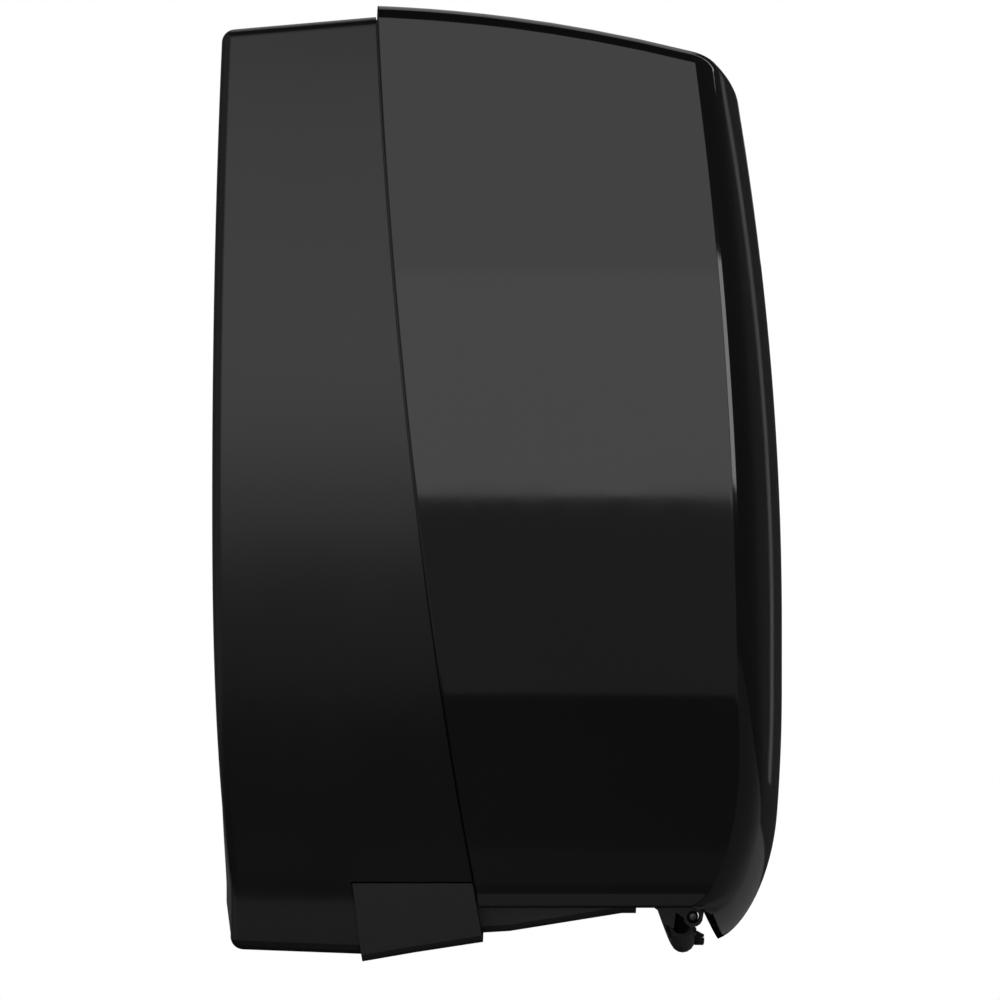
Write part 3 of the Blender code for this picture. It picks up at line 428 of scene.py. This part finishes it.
def half_width(z):
    """Half the cover's width, widest at height 0 and drawn in above and below."""
    if z >= 0:
        return HALF_WIDTH - TOP_NARROWING * (z / TOP_HEIGHT) ** 2
    fall = min(z / SKIRT_HEIGHT, 1.0)
    return HALF_WIDTH - SKIRT_NARROWING * fall**SKIRT_POWER


def part_depth(z):
    """Where the cover's side meets the housing's."""
    return PART_DEPTH + PART_SLOPE * z + PART_CURVE * z * z


def rim_height(x):
    """The cover's lower rim, lowest in the middle."""
    return RIM_HEIGHT + x * x / (2 * RIM_ARC)


def top_height(x, depth):
    """The cover's top, crowned across the width and falling toward the front."""
    run = depth - TOP_START
    crown = (TOP_CROWN_HALF**2 - x * x) / (2 * TOP_CROWN_ARC)
    return TOP_EDGE_HEIGHT + crown - TOP_SLOPE * run - TOP_FALL * run * run


def roll_under(rise):
    """How far the front is rolled back at a rise above the lower rim."""
    up = min(max(rise / ROLL_HEIGHT, 0.0), 1.0)
    return ROLL_DEPTH * (1 - math.sqrt(1 - (1 - up) ** 2))


def front_depth(x, z):
    """The cover's front, bowed across the width and over the height."""
    sag = 0.0
    if z > FRONT_PEAK_HEIGHT:
        sag = (z - FRONT_PEAK_HEIGHT) ** 2 / (2 * FRONT_UPPER_ARC)
    elif z < FRONT_LOWER_START:
        sag = (z - FRONT_LOWER_START) ** 2 / (2 * FRONT_LOWER_ARC)
    return COVER_DEPTH - x * x / (2 * FRONT_ARC) - sag - roll_under(z - rim_height(x))


# ---- front cover ----


def cover_plan(z, column):
    """Where a column of the cover's wall stands at height z, as (x, depth)."""
    mirrored = column > COLUMNS // 2
    if mirrored:
        column = COLUMNS - 1 - column
    half = half_width(z)
    corner = front_depth(half, z)
    side_end = corner - CORNER_ON_SIDE
    front_half = half - CORNER_ON_FRONT
    if column <= SIDE_STEPS:
        x, depth = half, mix(part_depth(z), side_end, (column / SIDE_STEPS) ** 2)
    elif column <= SIDE_STEPS + CORNER_STEPS:
        t = (column - SIDE_STEPS) / CORNER_STEPS
        x = half - CORNER_ON_FRONT * t * t
        ends = (1 - t) ** 2 * side_end + t * t * front_depth(front_half, z)
        depth = ends + 2 * t * (1 - t) * corner
    else:
        t = (column - SIDE_STEPS - CORNER_STEPS) / (FRONT_STEPS / 2)
        x = front_half * (1 - t)
        depth = front_depth(x, z)
    return (x if mirrored else -x), depth


def cover_inward(z, column):
    """The plan direction into the cover at a column."""
    if column in (0, COLUMNS - 1):
        return Vector((1.0 if column == 0 else -1.0, 0.0))
    ahead, behind = cover_plan(z, column + 1), cover_plan(z, column - 1)
    along = Vector((ahead[0] - behind[0], ahead[1] - behind[1])).normalized()
    return Vector((along.y, -along.x))


def height_over_rim(column, rise):
    """The height that stands a given rise above the column's own rim."""
    z, passes = RIM_SEARCH
    for _ in range(passes):
        z = rim_height(cover_plan(z, column)[0]) + rise
    return z


def wall_top(column):
    """The height where the wall at a column turns into the rounded top edge."""
    z, passes = TOP_SEARCH
    for _ in range(passes):
        z = top_height(*cover_plan(z, column)) - TOP_FILLET
    return z


def wall_row(heights):
    """A row of the cover's wall, from a height for each column."""
    return [at(*cover_plan(z, c), z) for c, z in enumerate(heights)]


def lip_rows():
    """The lower lip, from its rear edge forward and up to the wall."""
    rows = []
    for k in range(ROLL_STEPS, -1, -1):
        rise = ROLL_HEIGHT * (1 - math.sin(ROLL_END * k / ROLL_STEPS))
        rows.append(wall_row([height_over_rim(c, rise) for c in range(COLUMNS)]))
    return rows


def wall_rows(tops):
    starts = [height_over_rim(c, ROLL_HEIGHT) for c in range(COLUMNS)]
    rows = []
    for k in range(1, WALL_STEPS + 1):
        rows.append(wall_row([mix(start, top, k / WALL_STEPS) for start, top in zip(starts, tops)]))
    return rows


def fillet_plan(tops, angle):
    """Where the rounded top edge stands at an angle of its quarter turn, as (x, depth) for each column."""
    plan = []
    for c, z in enumerate(tops):
        point = Vector(cover_plan(z, c)) + cover_inward(z, c) * TOP_FILLET * (1 - math.cos(angle))
        plan.append((point.x, point.y))
    return plan


def fillet_rows(tops):
    rows = []
    for k in range(1, FILLET_STEPS + 1):
        angle = math.pi / 2 * k / FILLET_STEPS
        drop = TOP_FILLET * (1 - math.sin(angle))
        rows.append([at(x, depth, top_height(x, depth) - drop) for x, depth in fillet_plan(tops, angle)])
    return rows


def rear_edge(half, depth):
    """The top's rear edge from left to right, bowed back toward the middle, as (x, depth) for each column."""
    edge = []
    for c in range(COLUMNS):
        x = mix(-half, half, c / (COLUMNS - 1))
        edge.append((x, depth - REAR_EDGE_BOW * (1 - (x / half) ** 2)))
    return edge


def top_rows(inner):
    """The top, from the inner edge of its rounding back to the rear edge and down a short lip."""
    rear = rear_edge(-inner[0][0], inner[0][1])
    rows = []
    for k in range(1, TOP_STEPS + 1):
        t = k / TOP_STEPS
        plan = [(mix(a[0], b[0], t), mix(a[1], b[1], t)) for a, b in zip(inner, rear)]
        rows.append([at(x, depth, top_height(x, depth)) for x, depth in plan])
    rows.append([at(x, depth, top_height(x, depth) - REAR_LIP) for x, depth in rear])
    return rows


def cover_rows():
    tops = [wall_top(c) for c in range(COLUMNS)]
    inner = fillet_plan(tops, math.pi / 2)
    return lip_rows() + wall_rows(tops) + fillet_rows(tops) + top_rows(inner)


def lock_matrix():
    """The lock's frame: its origin on the cover's top and local +Z out of the surface."""
    slope = TOP_SLOPE + 2 * TOP_FALL * (LOCK_DEPTH - TOP_START)
    turn = Vector((0, 0, 1)).rotation_difference(Vector((0, -slope, 1)).normalized())
    return Matrix.Translation(at(0, LOCK_DEPTH, top_height(0, LOCK_DEPTH))) @ turn.to_matrix().to_4x4()


def hinge_boss(obj, label, side):
    """The boss on one side that the hinge pin enters, with its bore."""
    depth, z = COVER_HINGE
    near, far = BOSS_SPAN
    boss = rod((side * near, depth, z), (side * far, depth, z), BOSS_RADIUS)
    boolean(obj, cutter(f"boss_{label}", boss), "UNION")
    near, far = HINGE_BORE_SPAN
    bore = rod((side * near, depth, z), (side * far, depth, z), HINGE_BORE_RADIUS)
    boolean(obj, cutter(f"bore_{label}", bore), "DIFFERENCE")


def cover_shell(made):
    obj = piece("cover_shell", skin(cover_rows()), "cover", made, ["front_cover"])
    shade(obj)
    thicken(obj, COVER_WALL)
    hinge_boss(obj, "left", -1)
    hinge_boss(obj, "right", 1)
    hole = rod((0, 0, -HOLE_REACH), (0, 0, HOLE_REACH), LOCK_HOLE_RADIUS)
    bmesh.ops.transform(hole, matrix=lock_matrix(), verts=hole.verts)
    boolean(obj, cutter("lock_hole", hole), "DIFFERENCE")
    even_normals(obj)


# ---- rear housing ----


def housing_top(x, depth):
    """The housing's top, crowned across the width and rising toward the front."""
    crown = (HOUSING_CROWN_HALF**2 - x * x) / (2 * TOP_CROWN_ARC)
    return HOUSING_TOP + crown + HOUSING_TOP_SLOPE * depth


def relief(z):
    """How far the rear edge of a side stands off the wall."""
    if z >= 0:
        return TOP_RELIEF * min(z / TOP_HEIGHT, 1.0) ** 2
    return SKIRT_RELIEF * min(z / SKIRT_HEIGHT, 1.0) ** SKIRT_POWER


def edge_bow(x, z):
    """How far the top's parting edge bows back toward the middle."""
    return REAR_EDGE_BOW * max(0.0, 1 - (x / TOP_CROWN_HALF) ** 2) if z > TOP_HEIGHT else 0.0


def quarter_turn(steps):
    """The angles between the ends of a quarter turn."""
    return [math.pi / 2 * k / steps for k in range(1, steps)]


def housing_ring(depth_of, side_inset, top_inset, bow=0.0):
    """The housing's outline; depth_of gives each point's depth from its height."""
    nominal = depth_of(0.0)
    radius = max(HOUSING_FILLET - side_inset, LEAST_CORNER)
    low = HOUSING_BOTTOM - HOUSING_BOTTOM_SLOPE * min(nominal, BOTTOM_SLOPE_DEPTH) + top_inset
    corner_x = half_width(TOP_HEIGHT) - HOUSING_INSET - side_inset - radius
    high = housing_top(corner_x, nominal) - top_inset
    low_x = half_width(SKIRT_HEIGHT) - HOUSING_INSET - side_inset - radius
    left = []
    for angle in quarter_turn(RING_CORNER_STEPS):
        left.append((-low_x - radius * math.sin(angle), low + radius - radius * math.cos(angle)))
    for k in range(RING_SIDE_STEPS + 1):
        z = mix(low + radius, high - radius, k / RING_SIDE_STEPS)
        left.append((-(half_width(z) - HOUSING_INSET - side_inset), z))
    start_x = -left[-1][0] - radius
    for angle in quarter_turn(RING_CORNER_STEPS):
        left.append((-start_x - radius * math.cos(angle), high - radius + radius * math.sin(angle)))
    top = [mix(-start_x, start_x, k / RING_FLAT_STEPS) for k in range(RING_FLAT_STEPS + 1)]
    bottom = [mix(low_x, -low_x, k / RING_FLAT_STEPS) for k in range(RING_FLAT_STEPS + 1)]
    loop = left + [(x, housing_top(x, nominal) - top_inset) for x in top]
    loop += [(-x, z) for x, z in reversed(left)] + [(x, low) for x in bottom]
    return [at(x, depth_of(z) - bow * edge_bow(x, z), z) for x, z in loop]


def housing_rows():
    """From the flat back, round its edge, along the sides to the parting line, and on to the flange's end."""
    def side(share):
        return lambda z: mix(relief(z) + HOUSING_FILLET, part_depth(z) - PART_GAP, share)

    rows = [housing_ring(lambda z: 0.0, BACK_FLAT_INSET, BACK_FLAT_INSET)]
    for k in range(FILLET_STEPS + 1):
        angle = math.pi / 2 * k / FILLET_STEPS
        inset = HOUSING_FILLET * (1 - math.sin(angle))
        rise = HOUSING_FILLET * (1 - math.cos(angle))
        rows.append(housing_ring(lambda z, rise=rise: relief(z) + rise, inset, inset))
    for k in range(1, RING_DEPTH_STEPS + 1):
        share = k / RING_DEPTH_STEPS
        rows.append(housing_ring(side(share), 0.0, 0.0, share))
    rows.append(housing_ring(side(1.0), FLANGE_STEP, FLANGE_TOP_STEP, 1.0))
    rows.append(housing_ring(lambda z: part_depth(z) + FLANGE_LENGTH, FLANGE_STEP, FLANGE_TOP_STEP, 1.0))
    return rows


def chassis_opening(obj):
    """The opening that the chassis fills, and the flange cut back above it."""
    top = CHASSIS_TOP + CHASSIS_GAP
    foot_depth, foot = MOUTH_FOOT
    mouth = [(CHASSIS_REAR - CHASSIS_GAP, top), (foot_depth, foot), (CUT_REACH, foot), (CUT_REACH, top)]
    boolean(obj, cutter("chassis_mouth", prism(mouth, -CUT_REACH, CUT_REACH)), "DIFFERENCE")
    start = top - CHASSIS_GAP
    freed = [(part_depth(z) + RELIEF_GAP, z) for z in (start, *RELIEF_HEIGHTS, FLANGE_BOTTOM)]
    freed += [(CUT_REACH, FLANGE_BOTTOM), (CUT_REACH, start)]
    boolean(obj, cutter("flange_relief", prism(freed, -CUT_REACH, CUT_REACH)), "DIFFERENCE")


def wall_holes(obj, label, x):
    """A keyhole and a plain screw hole in the back."""
    rear, front = -HOLE_REACH, HOLE_REACH
    upper, lower, half = KEYHOLE_HEIGHT, SCREW_HOLE_HEIGHT, KEYHOLE_SLOT_HALF
    head = rod((x, rear, upper), (x, front, upper), KEYHOLE_RADIUS)
    slot = block((x - half, rear, upper), (x + half, front, upper + KEYHOLE_SLOT_LENGTH))
    plain = rod((x, rear, lower), (x, front, lower), SCREW_HOLE_RADIUS)
    for part, bm in (("head", head), ("slot", slot), ("plain", plain)):
        boolean(obj, cutter(f"wall_{part}_{label}", bm), "DIFFERENCE")


def arm_threads(obj, label, x):
    """The holes for the screws of one roll arm."""
    rear, front = ARM_THREAD_SPAN
    for z in ARM_SCREW_HEIGHTS:
        thread = rod((x, rear, z), (x, front, z), ARM_THREAD_RADIUS, 24)
        boolean(obj, cutter(f"thread_{label}_{z}", thread), "DIFFERENCE")


def housing_shell(made):
    bm = skin(housing_rows(), closed=True, cap=True)
    obj = piece("housing_shell", bm, "housing", made, ["rear_housing"])
    shade(obj)
    thicken(obj, HOUSING_WALL)
    chassis_opening(obj)
    for label, side in (("left", -1), ("right", 1)):
        wall_holes(obj, label, side * WALL_HOLE_X)
        arm_threads(obj, label, side * ARM_SCREW_X)
    even_normals(obj)


# ---- stage ----


def glow(name, level):
    made = bpy.data.materials.new(name)
    made.use_nodes = True
    nodes, links = made.node_tree.nodes, made.node_tree.links
    nodes.clear()
    light = nodes.new("ShaderNodeEmission")
    light.inputs["Color"].default_value = WHITE
    light.inputs["Strength"].default_value = level
    output = nodes.new("ShaderNodeOutputMaterial")
    links.new(light.outputs["Emission"], output.inputs["Surface"])
    return made


def floor():
    """A white floor that only lights the object from below."""
    made, _, _, shader = new_material("floor")
    shader.inputs["Base Color"].default_value = FLOOR_COLOUR
    shader.inputs["Roughness"].default_value = FLOOR_ROUGHNESS
    shader.inputs["Emission Color"].default_value = WHITE
    shader.inputs["Emission Strength"].default_value = FLOOR_GLOW
    ends = (-FLOOR_REACH, FLOOR_REACH)
    corners = [(x, y, FLOOR_HEIGHT) for y in ends for x in (ends if y < 0 else ends[::-1])]
    bm = bmesh.new()
    bm.faces.new([bm.verts.new(corner) for corner in corners])
    obj = mesh_object("floor", bm)
    obj.data.materials.append(made)
    obj.visible_camera = False
    obj.visible_glossy = False


def round_the_object(azimuth, elevation, distance):
    """A distant point, with angles in degrees. Azimuth 0 is on the camera's side, -X, and 90 in front, -Y."""
    turn, rise = math.radians(azimuth), math.radians(elevation)
    flat = distance * math.cos(rise)
    return Vector((-flat * math.cos(turn), -flat * math.sin(turn), distance * math.sin(rise)))


def card(name, azimuths, elevations, level, distance=CARD_DISTANCE):
    """A curved glowing card that only shows in reflections."""
    across = max(2, int(abs(azimuths[1] - azimuths[0]) / CARD_FACE_DEGREES))
    up = max(2, int(abs(elevations[1] - elevations[0]) / CARD_FACE_DEGREES))
    rows = []
    for r in range(up + 1):
        elevation = mix(*elevations, r / up)
        columns = [mix(*azimuths, c / across) for c in range(across + 1)]
        rows.append([round_the_object(azimuth, elevation, distance) for azimuth in columns])
    obj = mesh_object(name, skin(rows))
    obj.data.materials.append(glow(name, level))
    obj.visible_camera = False
    obj.visible_diffuse = False
    obj.visible_shadow = False
    obj.visible_transmission = False
    obj.visible_volume_scatter = False


def cards():
    """What the black surfaces mirror: a bright wall beside, dark rooms in front and behind, narrow lights.

    A card that crosses another stands nearer, so that their faces don't meet.
    """
    wall, front, beyond = (-30.0, 24.0), (24.0, 168.0), (168.0, 200.0)
    nearer = NEARER_CARD_DISTANCE
    card("wall_high", wall, (16.0, 36.0), 1.25)
    card("wall_band", wall, (0.3, 16.0), 1.42)
    card("wall_low", wall, (-22.5, 0.3), 0.19)
    card("wall_dark", wall, (-50.0, -22.5), 0.02)
    card("wall_foot", wall, (-75.0, -50.0), 0.05)
    card("rear_near", (-90.0, -30.0), (-22.0, 50.0), 0.25)
    card("rear_far", (-170.0, -90.0), (-22.0, 50.0), 0.10)
    card("front_upper", front, (-15.0, 60.0), 0.02)
    card("front_lower", front, (-60.0, -15.0), 0.09)
    card("beyond_low", beyond, (8.0, 44.0), 0.6, nearer)
    card("beyond_middle", (150.0, 210.0), (44.0, 60.0), 0.75, nearer)
    card("beyond_high", (110.0, 250.0), (60.0, 84.0), 0.9, nearer)
    card("corner_box", (26.0, 44.0), (2.0, 18.0), 4.0, nearer)
    card("corner_strip", (118.0, 124.0), (22.0, 60.0), 2.5, nearer)
    card("front_strip", (155.0, 157.0), (-10.0, 40.0), 0.12, nearer)


def studio():
    world = bpy.data.worlds.new("studio")
    world.use_nodes = True
    background = world.node_tree.nodes["Background"]
    background.inputs["Color"].default_value = WHITE
    background.inputs["Strength"].default_value = WORLD_LIGHT
    bpy.context.scene.world = world
    bpy.context.scene.view_settings.view_transform = "Standard"
    world.cycles_visibility.glossy = False
    floor()
    cards()


def camera():
    """The side view of the left side, level with the object's origin."""
    data = bpy.data.cameras.new("camera")
    data.lens = LENS
    data.sensor_width = SENSOR_WIDTH
    obj = bpy.data.objects.new("camera", data)
    bpy.context.scene.collection.objects.link(obj)
    obj.location = at(CAMERA_X, CAMERA_DEPTH, 0.0)
    obj.rotation_euler = (math.radians(90.0), 0.0, math.radians(-90.0))
    bpy.context.scene.camera = obj


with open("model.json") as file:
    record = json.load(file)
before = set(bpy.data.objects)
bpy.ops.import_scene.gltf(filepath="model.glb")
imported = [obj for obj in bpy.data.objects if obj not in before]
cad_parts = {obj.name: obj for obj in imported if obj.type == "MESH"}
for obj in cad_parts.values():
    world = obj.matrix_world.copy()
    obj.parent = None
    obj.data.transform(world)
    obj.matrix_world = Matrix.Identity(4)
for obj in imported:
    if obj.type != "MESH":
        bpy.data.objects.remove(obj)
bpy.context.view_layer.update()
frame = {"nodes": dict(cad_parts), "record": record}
materials = make_materials()
slots = {entry["node"]: entry["material_slot"] for entry in frame["record"]["subparts"]}
for node, obj in frame["nodes"].items():
    assign(obj, materials[slots[node]])
assign(frame["nodes"]["tear_bar"], materials["ribbed_black"])
assign(frame["nodes"]["guide_rod"], materials["dark_steel"])
cover_shell(materials["gloss_black"])
housing_shell(materials["satin_black"])
studio()
camera()
